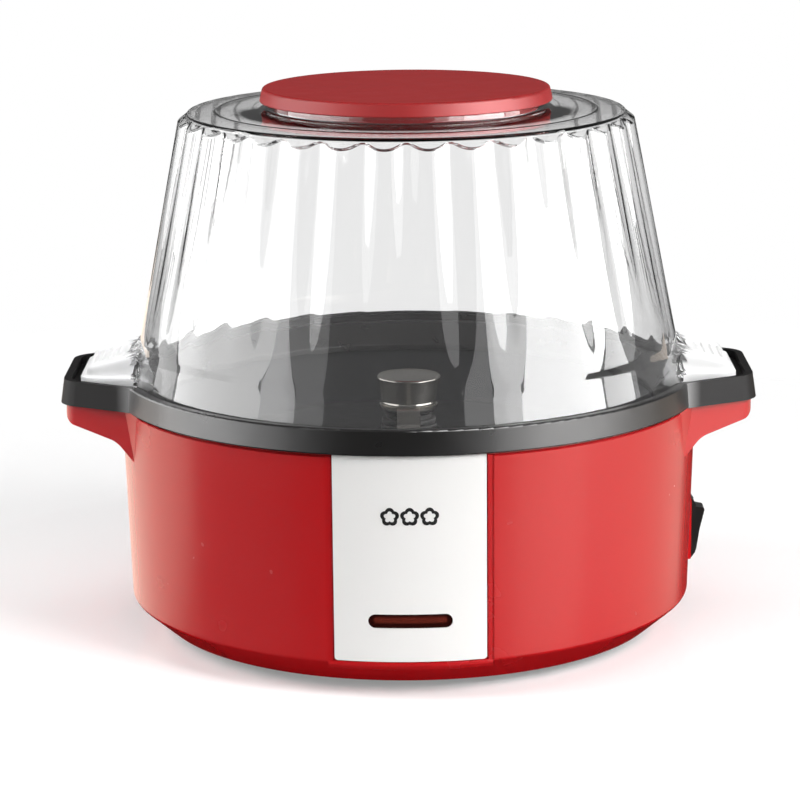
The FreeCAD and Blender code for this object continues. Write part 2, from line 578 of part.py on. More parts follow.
def make_gear_case(motor_screws):
    block = plate("case_block", case_outline(0), "case_low", "case_high - case_low")
    case_ears = pegs("case_ears", CASE_EARS, 4, "case_low", "case_high - case_low")
    cavity = plate("case_cavity", case_outline(2.2), "case_low + 2.5", "case_high - case_low")
    bearing = cylinder("case_bearing", "shaft_radius + running_gap", 10, 0, 0, "case_low - 2")
    motor_hole = cylinder("case_motor_hole", 3.2, 10, 0, "gear_spacing", "case_low - 2")
    screw_holes = pegs("case_screw_holes", motor_screws, 1.7, "case_low - 2", 6)
    ear_pilots = pegs("case_ear_pilots", CASE_EARS, 1.55, "case_low + 4", 30)
    node(cut("case_cut", join("case_solid", block, case_ears), cavity, bearing, motor_hole, screw_holes,
             ear_pilots), "gear_case")
    lid = plate("lid_block", case_outline(0), "case_high + 0.05", 2)
    lid_ears = pegs("lid_ears", CASE_EARS, 4, "case_high + 0.05", 2)
    lid_bore = cylinder("lid_bore", "shaft_radius + 0.6", 10, 0, 0, "case_high - 3")
    lid_holes = pegs("lid_holes", CASE_EARS, 1.7, "case_high - 3", 10)
    node(cut("lid_cut", join("lid_solid", lid, lid_ears), lid_bore, lid_holes), "gear_cover")
    shanks = pegs("ear_shanks", CASE_EARS, 1.5, "case_low + 6", "bracket_plate + 1.55 - case_low - 6")
    heads = pegs("ear_heads", CASE_EARS, 3, "bracket_plate + 1.55", 1.9)
    node(join("ear_screws", shanks, heads), "gear_case_screws")


def make_motor(motor_screws):
    can = lathe("can_profile", [
        (0, "motor_low"), ("motor_radius", "motor_low", 2), ("motor_radius", "case_low - 0.1"),
        ("motor_shaft_radius + running_gap", "case_low - 0.1"),
        ("motor_shaft_radius + running_gap", "case_low - 1.4"), ("motor_radius - 1.2", "case_low - 1.4"),
        ("motor_radius - 1.2", "motor_low + 1.2"), (5, "motor_low + 1.2"), (5, "motor_low + 4"),
        ("motor_shaft_radius + running_gap", "motor_low + 4"),
        ("motor_shaft_radius + running_gap", "motor_low + 2"), (0, "motor_low + 2")])
    move(can, 0, "gear_spacing", 0)
    node(cut("can_cut", can, pegs("can_holes", motor_screws, 1.6, "case_low - 4", 6)), "motor_can")
    shanks = pegs("motor_shanks", motor_screws, 1.5, "case_low - 4", 6.55)
    heads = pegs("motor_heads", motor_screws, 2.8, "case_low + 2.55", 1.8)
    node(join("motor_screw_set", shanks, heads), "motor_screws")
    node(cylinder("rotor_shaft", "motor_shaft_radius", "case_high - 3 - motor_low - 2.2", 0, "gear_spacing",
                  "motor_low + 2.2"), "motor_shaft")
    magnet = cylinder("rotor_magnet", "motor_radius - 6", 11, 0, "gear_spacing", "motor_low + 5.5")
    magnet_bore = cylinder("rotor_bore", "motor_shaft_radius + 0.03", 20, 0, "gear_spacing", "motor_low + 2")
    node(cut("rotor_cut", magnet, magnet_bore), "motor_rotor")


def make_gearbox():
    motor_screws = [(-17, "gear_spacing + 7"), (17, "gear_spacing + 7")]
    make_gear_case(motor_screws)
    make_motor(motor_screws)


def involute_flank(pitch_radius, tip_radius, half_angle, side):
    """Points of one tooth flank about the X axis, from the base circle to the tip."""
    base_radius = pitch_radius * math.cos(PRESSURE_ANGLE)
    at_pitch = math.tan(PRESSURE_ANGLE) - PRESSURE_ANGLE
    last = math.sqrt((tip_radius / base_radius) ** 2 - 1)
    points = []
    for step in range(6):
        roll = last * step / 5
        radius = base_radius * math.hypot(1, roll)
        angle = half_angle + at_pitch - (roll - math.atan(roll))
        points.append(Vector(radius * math.cos(angle), side * radius * math.sin(angle), 0))
    return points


def gear_blank(teeth, width, start):
    """Involute spur gear about the Z axis, a tooth centred at the start angle, in degrees."""
    pitch_radius = GEAR_MODULE * teeth / 2
    root_radius = pitch_radius - 1.25 * GEAR_MODULE
    tip_radius = pitch_radius + 0.9 * GEAR_MODULE
    half_angle = (math.pi / 2 - BACKLASH / GEAR_MODULE / 2) / teeth
    edges = []
    step = 360 / teeth
    right = involute_flank(pitch_radius, tip_radius, half_angle, -1)
    left = involute_flank(pitch_radius, tip_radius, half_angle, 1)
    root_angle = math.atan2(left[0].y, left[0].x)
    root_right = Vector(root_radius * math.cos(root_angle), -root_radius * math.sin(root_angle), 0)
    root_left = Vector(root_right.x, -root_right.y, 0)
    gap_angle = math.pi / teeth
    gap_middle = Vector(root_radius * math.cos(gap_angle), root_radius * math.sin(gap_angle), 0)
    next_root = Rotation(Z_AXIS, step).multVec(root_right)
    for index in range(teeth):
        turn = Rotation(Z_AXIS, start + index * step)
        flank_up = Part.BSplineCurve()
        flank_up.interpolate([turn.multVec(point) for point in right])
        flank_down = Part.BSplineCurve()
        flank_down.interpolate([turn.multVec(point) for point in reversed(left)])
        tip_middle = turn.multVec(Vector(tip_radius, 0, 0))
        edges.append(Part.LineSegment(turn.multVec(root_right), turn.multVec(right[0])).toShape())
        edges.append(flank_up.toShape())
        edges.append(Part.Arc(turn.multVec(right[-1]), tip_middle, turn.multVec(left[-1])).toShape())
        edges.append(flank_down.toShape())
        edges.append(Part.LineSegment(turn.multVec(left[0]), turn.multVec(root_left)).toShape())
        root = Part.Arc(turn.multVec(root_left), turn.multVec(gap_middle), turn.multVec(next_root))
        edges.append(root.toShape())
    return Part.Face(Part.Wire(edges)).extrude(Vector(0, 0, width))


def make_gears():
    width = number("gear_width")
    low = number("gear_low")
    spacing = number("gear_spacing")
    gear = doc.addObject("Part::Feature", "gear_teeth")
    gear.Shape = gear_blank(OUTPUT_TEETH, width, 90)
    gear.Placement = FreeCAD.Placement(Vector(0, 0, low), Rotation())
    hub = cylinder("gear_hub", 8, "gear_width + 3.5", 0, 0, "gear_low - 1.5")
    bore = cylinder("gear_bore", "shaft_radius + 0.03", 30, 0, 0, "gear_low - 10")
    windows = pegs("gear_windows", around("13", 6, 30), 3.2, "gear_low - 3", 20)
    node(cut("gear_cut", join("gear_solid", gear, hub), bore, windows), "output_gear")
    pinion = doc.addObject("Part::Feature", "pinion_teeth")
    pinion.Shape = gear_blank(PINION_TEETH, width + 1, -90 + 180 / PINION_TEETH)
    pinion.Placement = FreeCAD.Placement(Vector(0, spacing, low - 0.5), Rotation())
    pinion_bore = cylinder("pinion_bore", "motor_shaft_radius + 0.03", 30, 0, "gear_spacing", "gear_low - 10")
    node(cut("pinion_cut", pinion, pinion_bore), "motor_pinion")


def make_stirrer():
    node(cylinder("main_shaft", "shaft_radius", "shaft_top - case_low - 0.1", 0, 0, "case_low + 0.1"),
         "stirrer_shaft")
    node(lathe("collar_profile", [
        ("shaft_radius + 0.03", 107.4), (12.4, 107.4), (13.2, 108.2, 0.5), (13.2, "arm_height - 0.05"),
        ("shaft_radius + 0.03", "arm_height - 0.05")]), "stirrer_collar")
    washer = cut("arm_washer", cylinder("arm_disc", 14.8, "arm_thickness", 0, 0, "arm_height"),
                 cylinder("arm_bore", "shaft_radius + 0.03", 20, 0, 0, "arm_height - 5"))
    straps = [slab(f"arm_strap_{name}", [
        (f"{side} * 9", "arm_height + arm_thickness"), (f"{side} * 15.3", "arm_height + arm_thickness", 1.6),
        (f"{side} * 17.2", 101.6, 5), (f"{side} * 26", 96.5, 6), (f"{side} * arm_reach", 96.5, 0.5),
        (f"{side} * arm_reach", 94.9, 0.5), (f"{side} * 25.2", 94.9, 7), (f"{side} * 15.6", 100.7, 4),
        (f"{side} * 13.8", "arm_height", 0.5), (f"{side} * 9", "arm_height")], "arm_width", "YZ_Plane")
        for side, name in ((1, "back"), (-1, "front"))]
    node(join("arm_solid", washer, *straps), "stirring_arm")
    low = "arm_height + arm_thickness + 0.05"
    node(lathe("knob_profile", [
        ("shaft_radius + 0.03", low), (14, low, 0.4), (14, f"{low} + 1.1", 0.4), (13.7, f"{low} + 1.9", 0.5),
        ("knob_radius", "knob_top - 0.7", 0.6), ("knob_radius - 0.9", "knob_top", 0.4),
        ("knob_radius - 1.9", "knob_top - 0.5"), (0, "knob_top - 0.5"), (0, "shaft_top + 0.4"),
        ("shaft_radius + 0.03", "shaft_top + 0.4")]), "stirrer_knob")


def make_base():
    disc = cylinder("cover_disc", "cover_radius", "cover_thickness", 0, 0, "cover_low")
    slots = []
    for index in range(7):
        for side in (-1, 1):
            x = f"{side} * {28 + 9 * index}"
            slots.append(box(f"vent_{index}_{side}", (f"{x} - 1.7", f"{x} + 1.7"),
                             (-30 + 2 * index, 30 - 2 * index), ("cover_low - 2", "cover_low + 8")))
    screw_holes = pegs("cover_screw_holes", around("screw_circle", 4), 1.8, "cover_low - 2", 8)
    foot_holes = pegs("cover_foot_holes", around("foot_circle", 4, 45), 3.1, "cover_low - 2", 8)
    node(cut("cover_cut", disc, *slots, screw_holes, foot_holes), "base_cover")
    pads = []
    for index, (x, y) in enumerate(around("foot_circle", 4, 45)):
        pad = lathe(f"foot_{index}", [
            (0, 0), ("foot_radius - 1.2", 0), ("foot_radius", 1.2), ("foot_radius", "cover_low - 0.05"),
            (3, "cover_low - 0.05"), (3, "cover_low + 4"), (0, "cover_low + 4")])
        pads.append(move(pad, x, y, 0))
    node(join("foot_set", *pads), "rubber_feet")
    shanks = pegs("base_shanks", around("screw_circle", 4), 1.5, "cover_low - 0.05", 15)
    heads = pegs("base_heads", around("screw_circle", 4), 3.3, "cover_low - 2.05", 2)
    node(join("base_screw_set", shanks, heads), "base_screws")
    rim_places = corners_of("rim_screw_x", "rim_screw_y")
    shanks = pegs("rim_shanks", rim_places, 1.4, "rim_screw_head + 1.9", 13.6)
    heads = pegs("rim_heads", rim_places, 3.2, "rim_screw_head", 1.95)
    node(join("rim_screw_set", shanks, heads), "rim_screws")
    block = box("terminal_body", (-66, -34), (46, 62), ("cover_low + cover_thickness + 0.05", 20))
    wire_holes = [cylinder(f"terminal_hole_{index}", 2, 30, -58 + 8 * index, 40, 14, ALONG_Y)
                  for index in range(3)]
    node(cut("terminal_cut", block, *wire_holes), "terminal_block")
    gland = lathe("gland_profile", [
        ("inlet_radius", 0), (7.8, 0), (7.8, 1.6), ("inlet_radius + 2", 1.6), ("inlet_radius + 2", 4.9),
        (8.6, 4.9, 0.8), (8.6, 7, 0.8), (6.2, 7.3), (5.6, "gland_length", 0.4),
        ("inlet_radius", "gland_length")])
    gland.Placement.Rotation = ALONG_Y
    node(move(gland, 0, "gland_y", "inlet_height"), "cord_gland")


def tab(side):
    """Grip on one side of the dome: a thin lip with a ribbed, rising pad on it."""
    name = "right" if side > 0 else "left"
    outline = trapezoid(side, "handle_root", "tab_root_half", "tab_tip", "tab_tip_half", 10)
    lip = plate(f"tab_lip_{name}", outline, "tray_floor + 0.3", 4.4)
    profile = [
        (f"{side} * 128", 130), (f"{side} * (tab_tip - 2.5)", 130), (f"{side} * (tab_tip - 3)", 136.4, 3),
        (f"{side} * 146.5", 140, 8), (f"{side} * 138.5", 142.4, 8), (f"{side} * 134.2", 152),
        (f"{side} * 128", 152)]
    rise = slab(f"tab_profile_{name}", profile, 110)
    plan = plate(f"tab_plan_{name}", trapezoid(side, "handle_root", 31, "tab_tip - 2", 23, 5), 128, 30)
    pad = overlap(f"tab_pad_{name}", rise, plan)
    ribs = [slab(f"tab_groove_{name}_{index}", [
        (f"{side} * {start}", 137.6 - 0.3 * index), (f"{side} * {start + 2}", 137 - 0.3 * index),
        (f"{side} * {start + 2}", 150), (f"{side} * {start}", 150)], 34)
        for index, start in enumerate((144.5, 148.5, 152.5, 156.5))]
    return join(f"tab_{name}", lip, cut(f"tab_ribbed_{name}", pad, *ribs))


def make_dome():
    skin = lathe("dome_outside", [
        (0, "dome_low"), ("dome_low_radius", "dome_low"), ("dome_seat_radius", "dome_low + 3.9"),
        ("dome_wall_radius", "dome_wall_height", 40), ("dome_top_radius", "dome_top_height", 2),
        ("shoulder_radius", "shoulder_height", 3), ("neck_radius", "neck_base", 1.5),
        ("neck_radius", "neck_top", 0.6), ("neck_radius - dome_thickness", "neck_top", 0.6),
        ("neck_radius - dome_thickness", "neck_base - 2.2", 1), (0, "neck_base - 2.2")])
    hollow = lathe("dome_inside", [
        (0, "dome_low - 1"), ("dome_low_radius - dome_thickness", "dome_low - 1"),
        ("dome_seat_radius - dome_thickness", "dome_low + 3.9"),
        ("dome_wall_radius - dome_thickness", "dome_wall_height", 40),
        ("dome_top_radius - dome_thickness", "dome_top_height - 1.2", 2),
        ("shoulder_radius - 1.6", "shoulder_height - dome_thickness", 2),
        ("neck_radius + 2.5", "neck_base - dome_thickness - 0.1"), ("neck_radius - 0.5", "neck_base - 4.4"),
        (0, "neck_base - 4.4")])
    places = around("20", 8) + around("36", 14) + around("52", 20)
    vents = pegs("dome_vents", places, 2.4, "neck_base - 8", 12)
    node(cut("dome_cut", join("dome_solid", skin, tab(1), tab(-1)), hollow, vents), "dome")
    node(lathe("cap_profile", [
        ("neck_radius - 4.8", "cap_low - 4"), ("neck_radius - dome_thickness - 0.4", "cap_low - 4"),
        ("neck_radius - dome_thickness - 0.4", "neck_top + 0.3"), ("neck_radius + 0.7", "neck_top + 0.3"),
        ("neck_radius + 0.7", "cap_low"), ("cap_radius", "cap_low", 0.6), ("cap_top_radius", "cap_top", 1.6),
        (0, "cap_top"), (0, "cap_top - 2.2"), ("neck_radius - 4.8", "cap_top - 2.2")]), "dome_cap")


def check():
    """Stop if any object failed or any sub-part isn't a sound solid."""
    doc.recompute()
    for item in doc.Objects:
        if any(word in item.State for word in ("Invalid", "Error")):
            raise ValueError(f"{item.Name} failed: {item.State}")
    for item in nodes:
        shape = item.Shape
        if shape.isNull() or not shape.isValid() or not shape.Solids:
            raise ValueError(item.Label + " isn't a sound solid")


for make in (make_shell, make_rim, make_panel, make_switch, make_pan, make_heater, make_frame, make_gearbox,
             make_gears, make_stirrer, make_base, make_dome):
    make()
check()
os.makedirs("parts", exist_ok=True)
for item in nodes:
    item.Shape.exportStep(f"parts/{item.Label}.step")
    print(f"{item.Label:20s} solids {len(item.Shape.Solids)} volume {item.Shape.Volume:10.0f}")
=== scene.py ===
"""Popcorn maker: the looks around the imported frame. Lengths named here are in millimetres."""
import bmesh
import bpy
import json
import math
import numpy as np
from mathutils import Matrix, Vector
from mathutils.bvhtree import BVHTree


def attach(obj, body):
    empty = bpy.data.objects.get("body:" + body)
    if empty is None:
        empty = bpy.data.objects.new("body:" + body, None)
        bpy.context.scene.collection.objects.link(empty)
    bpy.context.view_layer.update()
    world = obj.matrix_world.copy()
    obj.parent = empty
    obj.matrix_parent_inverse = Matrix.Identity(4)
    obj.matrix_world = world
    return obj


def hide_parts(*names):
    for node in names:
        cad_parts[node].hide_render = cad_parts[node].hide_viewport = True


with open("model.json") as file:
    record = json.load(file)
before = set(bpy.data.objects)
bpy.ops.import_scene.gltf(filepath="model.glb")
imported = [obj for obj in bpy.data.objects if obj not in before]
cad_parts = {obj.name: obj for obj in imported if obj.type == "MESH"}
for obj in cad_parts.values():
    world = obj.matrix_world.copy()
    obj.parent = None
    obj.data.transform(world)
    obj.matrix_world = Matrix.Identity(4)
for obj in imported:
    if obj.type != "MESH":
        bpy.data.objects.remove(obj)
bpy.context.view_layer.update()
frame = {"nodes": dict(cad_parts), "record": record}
nodes = frame["nodes"]

MM = 0.001


# ---------------------------------------------------------------- materials

def srgb(red, green, blue):
    """Linear colour from 0-255 display values."""
    def linear(v):
        v /= 255
        return v / 12.92 if v <= 0.04045 else ((v + 0.055) / 1.055) ** 2.4
    return (linear(red), linear(green), linear(blue), 1.0)


class Finish:
    """A Principled material with short calls for the nodes that shape it."""

    def __init__(self, name, colour, roughness, **sockets):
        self.material = bpy.data.materials.new(name)
        self.material.use_nodes = True
        self.tree = self.material.node_tree
        self.bsdf = self.tree.nodes["Principled BSDF"]
        self.bsdf.inputs["Base Color"].default_value = colour
        self.bsdf.inputs["Roughness"].default_value = roughness
        for socket, value in sockets.items():
            self.bsdf.inputs[socket.replace("_", " ")].default_value = value

    def node(self, kind, **inputs):
        made = self.tree.nodes.new(kind)
        for socket, value in inputs.items():
            self.feed(made.inputs[socket.replace("_", " ")], value)
        return made

    def feed(self, socket, value):
        if isinstance(value, bpy.types.NodeSocket):
            self.tree.links.new(value, socket)
        else:
            socket.default_value = value

    def place(self):
        """Object coordinates, in metres."""
        return self.node("ShaderNodeTexCoord").outputs["Object"]

    def axis(self, letter):
        """One of the object coordinates, in metres."""
        return self.node("ShaderNodeSeparateXYZ", Vector=self.place()).outputs[letter]

    def stretched(self, x, y, z):
        """Object coordinates scaled by x, y and z."""
        return self.node("ShaderNodeMapping", Vector=self.place(), Scale=(x, y, z)).outputs["Vector"]

    def noise(self, scale, detail=3.0, vector=None):
        made = self.node("ShaderNodeTexNoise", Scale=scale, Detail=detail)
        self.feed(made.inputs["Vector"], vector or self.place())
        return made.outputs["Fac"]

    def between(self, value, low, high, first=0.0, last=1.0):
        """Maps value from low..high to first..last, clamped."""
        made = self.node("ShaderNodeMapRange")
        self.feed(made.inputs["Value"], value)
        for socket, number in zip(("From Min", "From Max", "To Min", "To Max"), (low, high, first, last)):
            made.inputs[socket].default_value = number
        return made.outputs["Result"]

    def mixed(self, share, first, last):
        """A colour between first and last."""
        made = self.node("ShaderNodeMix")
        made.data_type = "RGBA"
        self.feed(made.inputs["Factor"], share)
        self.feed(made.inputs["A"], first)
        self.feed(made.inputs["B"], last)
        return [s for s in made.outputs if s.type == "RGBA"][0]

    def maths(self, kind, first, last=0.0):
        made = self.tree.nodes.new("ShaderNodeMath")
        made.operation = kind
        self.feed(made.inputs[0], first)
        self.feed(made.inputs[1], last)
        return made.outputs[0]

    def bump(self, height, strength, distance):
        made = self.node("ShaderNodeBump", Height=height, Strength=strength, Distance=distance)
        self.tree.links.new(made.outputs["Normal"], self.bsdf.inputs["Normal"])

    def colour(self, value):
        self.feed(self.bsdf.inputs["Base Color"], value)

    def roughness(self, value):
        self.feed(self.bsdf.inputs["Roughness"], value)


def red_plastic():
    f = Finish("red_plastic", srgb(190, 14, 20), 0.26, Coat_Weight=0.25, Coat_Roughness=0.18)
    f.colour(f.mixed(f.noise(9.0), srgb(189, 13, 20), srgb(192, 15, 22)))
    f.roughness(f.between(f.noise(40.0), 0.0, 1.0, 0.24, 0.29))
    f.bump(f.noise(2600.0, 2.0), 0.05, 0.0001)
    return f.material


def red_cap():
    f = Finish("red_cap", srgb(138, 16, 17), 0.46, Specular_IOR_Level=0.3)
    f.colour(f.mixed(f.noise(12.0), srgb(135, 15, 16), srgb(141, 17, 18)))
    f.roughness(f.between(f.noise(60.0), 0.3, 0.7, 0.43, 0.49))
    f.bump(f.noise(3000.0, 2.0), 0.12, 0.0001)
    return f.material


def black_satin():
    """Satin rim whose handles, out beyond the housing, are moulded duller for grip."""
    f = Finish("black_satin", srgb(22, 21, 21), 0.29)
    f.colour(f.mixed(f.noise(15.0), srgb(20, 19, 19), srgb(25, 24, 24)))
    handle = f.between(f.maths("ABSOLUTE", f.axis("X")), 0.136, 0.144)
    satin = f.between(f.noise(70.0), 0.3, 0.7, 0.27, 0.31)
    f.roughness(f.maths("ADD", satin, f.maths("MULTIPLY", handle, 0.16)))
    f.feed(f.bsdf.inputs["Specular IOR Level"], f.between(handle, 0.0, 1.0, 0.5, 0.08))
    f.bump(f.noise(2400.0, 3.0), 0.22, 0.0001)
    return f.material


def black_plastic():
    f = Finish("black_plastic", srgb(26, 25, 25), 0.33)
    f.roughness(f.between(f.noise(90.0), 0.3, 0.7, 0.28, 0.38))
    f.bump(f.noise(2000.0, 2.0), 0.1, 0.0001)
    return f.material


def black_rubber():
    f = Finish("black_rubber", srgb(24, 23, 23), 0.6)
    f.colour(f.mixed(f.noise(120.0), srgb(20, 19, 19), srgb(32, 31, 30)))
    f.bump(f.noise(900.0, 4.0), 0.25, 0.0002)
    return f.material


def white_panel():
    f = Finish("white_panel", srgb(247, 246, 244), 0.3)
    f.colour(f.mixed(f.noise(8.0), srgb(246, 245, 243), srgb(248, 247, 245)))
    f.roughness(f.between(f.noise(50.0), 0.0, 1.0, 0.28, 0.33))
    f.bump(f.noise(2600.0, 2.0), 0.05, 0.0001)
    return f.material


def smoked_lens():
    """Dark red lens with a painted highlight: a lighter band along its middle, rounded at the ends."""
    f = Finish("smoked_lens", srgb(58, 20, 16), 0.06, Transmission_Weight=0.6, IOR=1.49)
    # Mask of a stadium-shaped band along the lens; the lighter colour mixed in there is a painted highlight.
    beyond = f.maths("MAXIMUM", f.maths("SUBTRACT", f.maths("ABSOLUTE", f.axis("X")), 0.0158), 0.0)
    across = f.maths("SUBTRACT", f.axis("Z"), 0.0392)
    square = f.maths("ADD", f.maths("MULTIPLY", beyond, beyond), f.maths("MULTIPLY", across, across))
    share = f.between(f.maths("SQRT", square), 0.0009, 0.0019, 1.0, 0.0)
    f.colour(f.mixed(share, srgb(50, 16, 13), srgb(124, 50, 38)))
    f.roughness(f.between(f.noise(200.0), 0.3, 0.7, 0.04, 0.09))
    return f.material


def lamp_glass():
    f = Finish("lamp_glass", srgb(240, 120, 80), 0.08, Transmission_Weight=0.6, IOR=1.45)
    f.roughness(f.between(f.noise(300.0), 0.3, 0.7, 0.05, 0.12))
    return f.material


def pale_plastic():
    f = Finish("pale_plastic", srgb(214, 208, 192), 0.45)
    f.colour(f.mixed(f.noise(20.0), srgb(209, 203, 186), srgb(219, 213, 198)))
    f.bump(f.noise(1500.0, 2.0), 0.12, 0.0001)
    return f.material


def gear_plastic():
    f = Finish("gear_plastic", srgb(228, 224, 208), 0.35, Subsurface_Weight=0.1)
    f.colour(f.mixed(f.noise(25.0), srgb(222, 218, 200), srgb(233, 229, 215)))
    f.bump(f.noise(1200.0, 2.0), 0.08, 0.0001)
    return f.material


def metal(name, colour, low, high, scale, grain, strength=0.1):
    """Metal whose roughness varies from low to high over patches, with a fine grain."""
    f = Finish(name, colour, low, Metallic=1.0)
    f.roughness(f.between(f.noise(scale), 0.3, 0.7, low, high))
    f.bump(f.noise(grain, 3.0), strength, 0.00005)
    return f


def nonstick():
    """Dark coating with fine pale flecks and the grit that it leaves."""
    f = Finish("nonstick", srgb(18, 18, 19), 0.3, Specular_IOR_Level=0.35)
    flecks = f.node("ShaderNodeTexVoronoi", Vector=f.place(), Scale=900.0, Randomness=1.0)
    spot = f.between(flecks.outputs["Distance"], 0.10, 0.22, 1.0, 0.0)
    chance = f.between(f.noise(700.0, 1.0), 0.52, 0.60)
    share = f.maths("MULTIPLY", spot, chance)
    f.colour(f.mixed(share, srgb(15, 15, 16), srgb(104, 102, 100)))
    f.roughness(f.between(f.noise(220.0), 0.3, 0.7, 0.32, 0.38))
    f.bump(f.noise(2200.0, 2.0), 0.2, 0.00008)
    return f.material


def polished():
    """Stainless steel, turned: fine rings round the axis."""
    f = Finish("polished", srgb(206, 202, 196), 0.16, Metallic=1.0)
    f.roughness(f.between(f.noise(30.0, 4.0, f.stretched(40, 40, 900)), 0.3, 0.7, 0.10, 0.26))
    f.bump(f.noise(10.0, 4.0, f.stretched(20, 20, 3000)), 0.04, 0.00005)
    return f.material


def clear_plastic(name, tint, roughness, transmission):
    """Clear moulded plastic. Lamps shine through it, so that what it covers is lit."""
    f = Finish(name, (tint, tint, tint, 1.0), roughness, Transmission_Weight=transmission, IOR=1.49)
    f.bump(f.noise(55.0, 2.0), 0.05, 0.0004)
    passing = f.node("ShaderNodeBsdfTransparent", Color=(0.93, 0.93, 0.935, 1.0))
    rays = f.node("ShaderNodeLightPath")
    mix = f.node("ShaderNodeMixShader")
    f.feed(mix.inputs["Fac"], rays.outputs["Is Shadow Ray"])
    f.feed(mix.inputs[1], f.bsdf.outputs["BSDF"])
    f.feed(mix.inputs[2], passing.outputs["BSDF"])
    f.feed(f.tree.nodes["Material Output"].inputs["Surface"], mix.outputs["Shader"])
    return f.material


def ceramic():
    f = Finish("ceramic", srgb(226, 220, 208), 0.5)
    f.colour(f.mixed(f.noise(60.0), srgb(218, 211, 198), srgb(232, 227, 216)))
    f.bump(f.noise(700.0, 3.0), 0.2, 0.0001)
    return f.material


FINISHES = {
    "red_plastic": red_plastic(),
    "red_cap": red_cap(),
    "black_satin": black_satin(),
    "black_plastic": black_plastic(),
    "black_rubber": black_rubber(),
    "white_panel": white_panel(),
    "smoked_lens": smoked_lens(),
    "lamp_glass": lamp_glass(),
    "pale_plastic": pale_plastic(),
    "gear_plastic": gear_plastic(),
    "ceramic": ceramic(),
    "nonstick": nonstick(),
    "polished": polished(),
    "clear_plastic": clear_plastic("clear_plastic", 0.96, 0.012, 1.0),
    # Pale copy of the clear plastic for the tabs: some haze, and a diffuse white that stands in for
    # reflection, a painted reflection.
    "haze_and_reflection_plastic": clear_plastic("haze_and_reflection_plastic", 0.86, 0.2, 0.84),
    "steel": metal("steel", srgb(176, 174, 170), 0.25, 0.42, 120.0, 1500.0).material,
    "element_steel": metal("element_steel", srgb(96, 92, 86), 0.35, 0.55, 60.0, 900.0, 0.2).material,
    "aluminised": metal("aluminised", srgb(196, 197, 198), 0.3, 0.5, 40.0, 700.0, 0.2).material,
    "brass": metal("brass", srgb(206, 168, 92), 0.22, 0.38, 90.0, 1200.0).material,
    "magnet": metal("magnet", srgb(70, 68, 68), 0.4, 0.6, 80.0, 900.0, 0.2).material,
}


def dress_cad_nodes():
    """Give each CAD node its slot's finish."""
    for part in frame["record"]["subparts"]:
        piece = nodes[part["node"]]
        piece.data.materials.clear()
        piece.data.materials.append(FINISHES[part["material_slot"]])


# ---------------------------------------------------------------- mesh help

def mesh_piece(name, vertices, faces, slot, body):
    """A new piece of the object from points in millimetres."""
    mesh = bpy.data.meshes.new(name)
    mesh.from_pydata([tuple(v) for v in np.asarray(vertices) * MM], [], [tuple(map(int, f)) for f in faces])
    mesh.validate()
    piece = bpy.data.objects.new(name, mesh)
    bpy.context.scene.collection.objects.link(piece)
    mesh.materials.append(FINISHES[slot])
    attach(piece, body)
    return piece


def turn_outward(mesh):
    """Point every face of a closed mesh outward."""
    work = bmesh.new()
    work.from_mesh(mesh)
    bmesh.ops.recalc_face_normals(work, faces=work.faces)
    work.to_mesh(mesh)
    work.free()


def soften(mesh, angle=35):
    """Smooth shading, with edges sharper than angle kept sharp."""
    mesh.shade_smooth()
    mesh.set_sharp_from_angle(angle=math.radians(angle))


def rounded(corners, steps=5):
    """Points along an outline of (x, y, radius) corners, each corner turned in an arc of steps points."""
    out = []
    for i, (x, y, radius) in enumerate(corners):
        here = np.array((x, y), float)
        if radius == 0 or i in (0, len(corners) - 1):
            out.append(here)
            continue
        back = np.array(corners[i - 1][:2], float) - here
        on = np.array(corners[i + 1][:2], float) - here
        reach_back, reach_on = np.linalg.norm(back), np.linalg.norm(on)
        back, on = back / reach_back, on / reach_on
        half = math.acos(max(-1, min(1, float(back @ on)))) / 2
        run = min(radius / math.tan(half), 0.45 * reach_back, 0.45 * reach_on)
        radius = run * math.tan(half)
        centre = here + (back + on) / np.linalg.norm(back + on) * radius / math.sin(half)
        first, last = here + back * run - centre, here + on * run - centre
        for k in range(steps):
            t = k / (steps - 1)
            way = first * (1 - t) + last * t
            out.append(centre + way / np.linalg.norm(way) * radius)
    return np.array(out)


# ---------------------------------------------------------------- dome

PLEATS = 34
PLEAT_DEPTH = 4.0
LEDGE_SLOPE = 0.72
WALL = 2.2
DOME_LOW, DOME_FOOT_RADIUS = 127.3, 139.0
SEAT_RADIUS, SEAT_HEIGHT = 138.2, 131.2
WALL_RADIUS, WALL_HEIGHT = 134.7, 149.0
VALLEY_RADIUS, VALLEY_TOP = 109.7, 259.8
SHOULDER_RADIUS, SHOULDER_HEIGHT = 108.6, 261.4
RIDGE_RADIUS = 94.6
NECK_RADIUS, NECK_BASE, NECK_TOP = 70.0, 262.8, 268.3
PLATE_TOP, PLATE_LOW = 260.6, 258.4
TAB_TIP, TAB_HALF, TAB_CORNER = 163.8, 29.5, 9.0
LIP_TOP = 132.2
PAD_TIP_HEIGHT, PAD_ROOT_HEIGHT = 136.4, 142.4
TAB_REACH = 17


def columns():
    """Angles round the dome, in radians: 12 to a pleat, and finer over the two tabs."""
    coarse = 360 / (PLEATS * 12)
    angles = []
    for middle in (0, 180):
        angles += list(np.arange(middle - TAB_REACH, middle + TAB_REACH, 0.25))
        angles += list(np.linspace(middle + TAB_REACH, middle + 180 - TAB_REACH,
                                   round((180 - 2 * TAB_REACH) / coarse), endpoint=False))
    return np.radians(angles)


def lobes(angles):
    """0 in a pleat's valley and 1 on its crest, with the crest the broader of the two."""
    phase = PLEATS * (angles + math.pi / 2) + math.pi
    return 0.03 + 0.97 * (0.5 + 0.5 * np.cos(phase - 0.3 * np.sin(phase)))


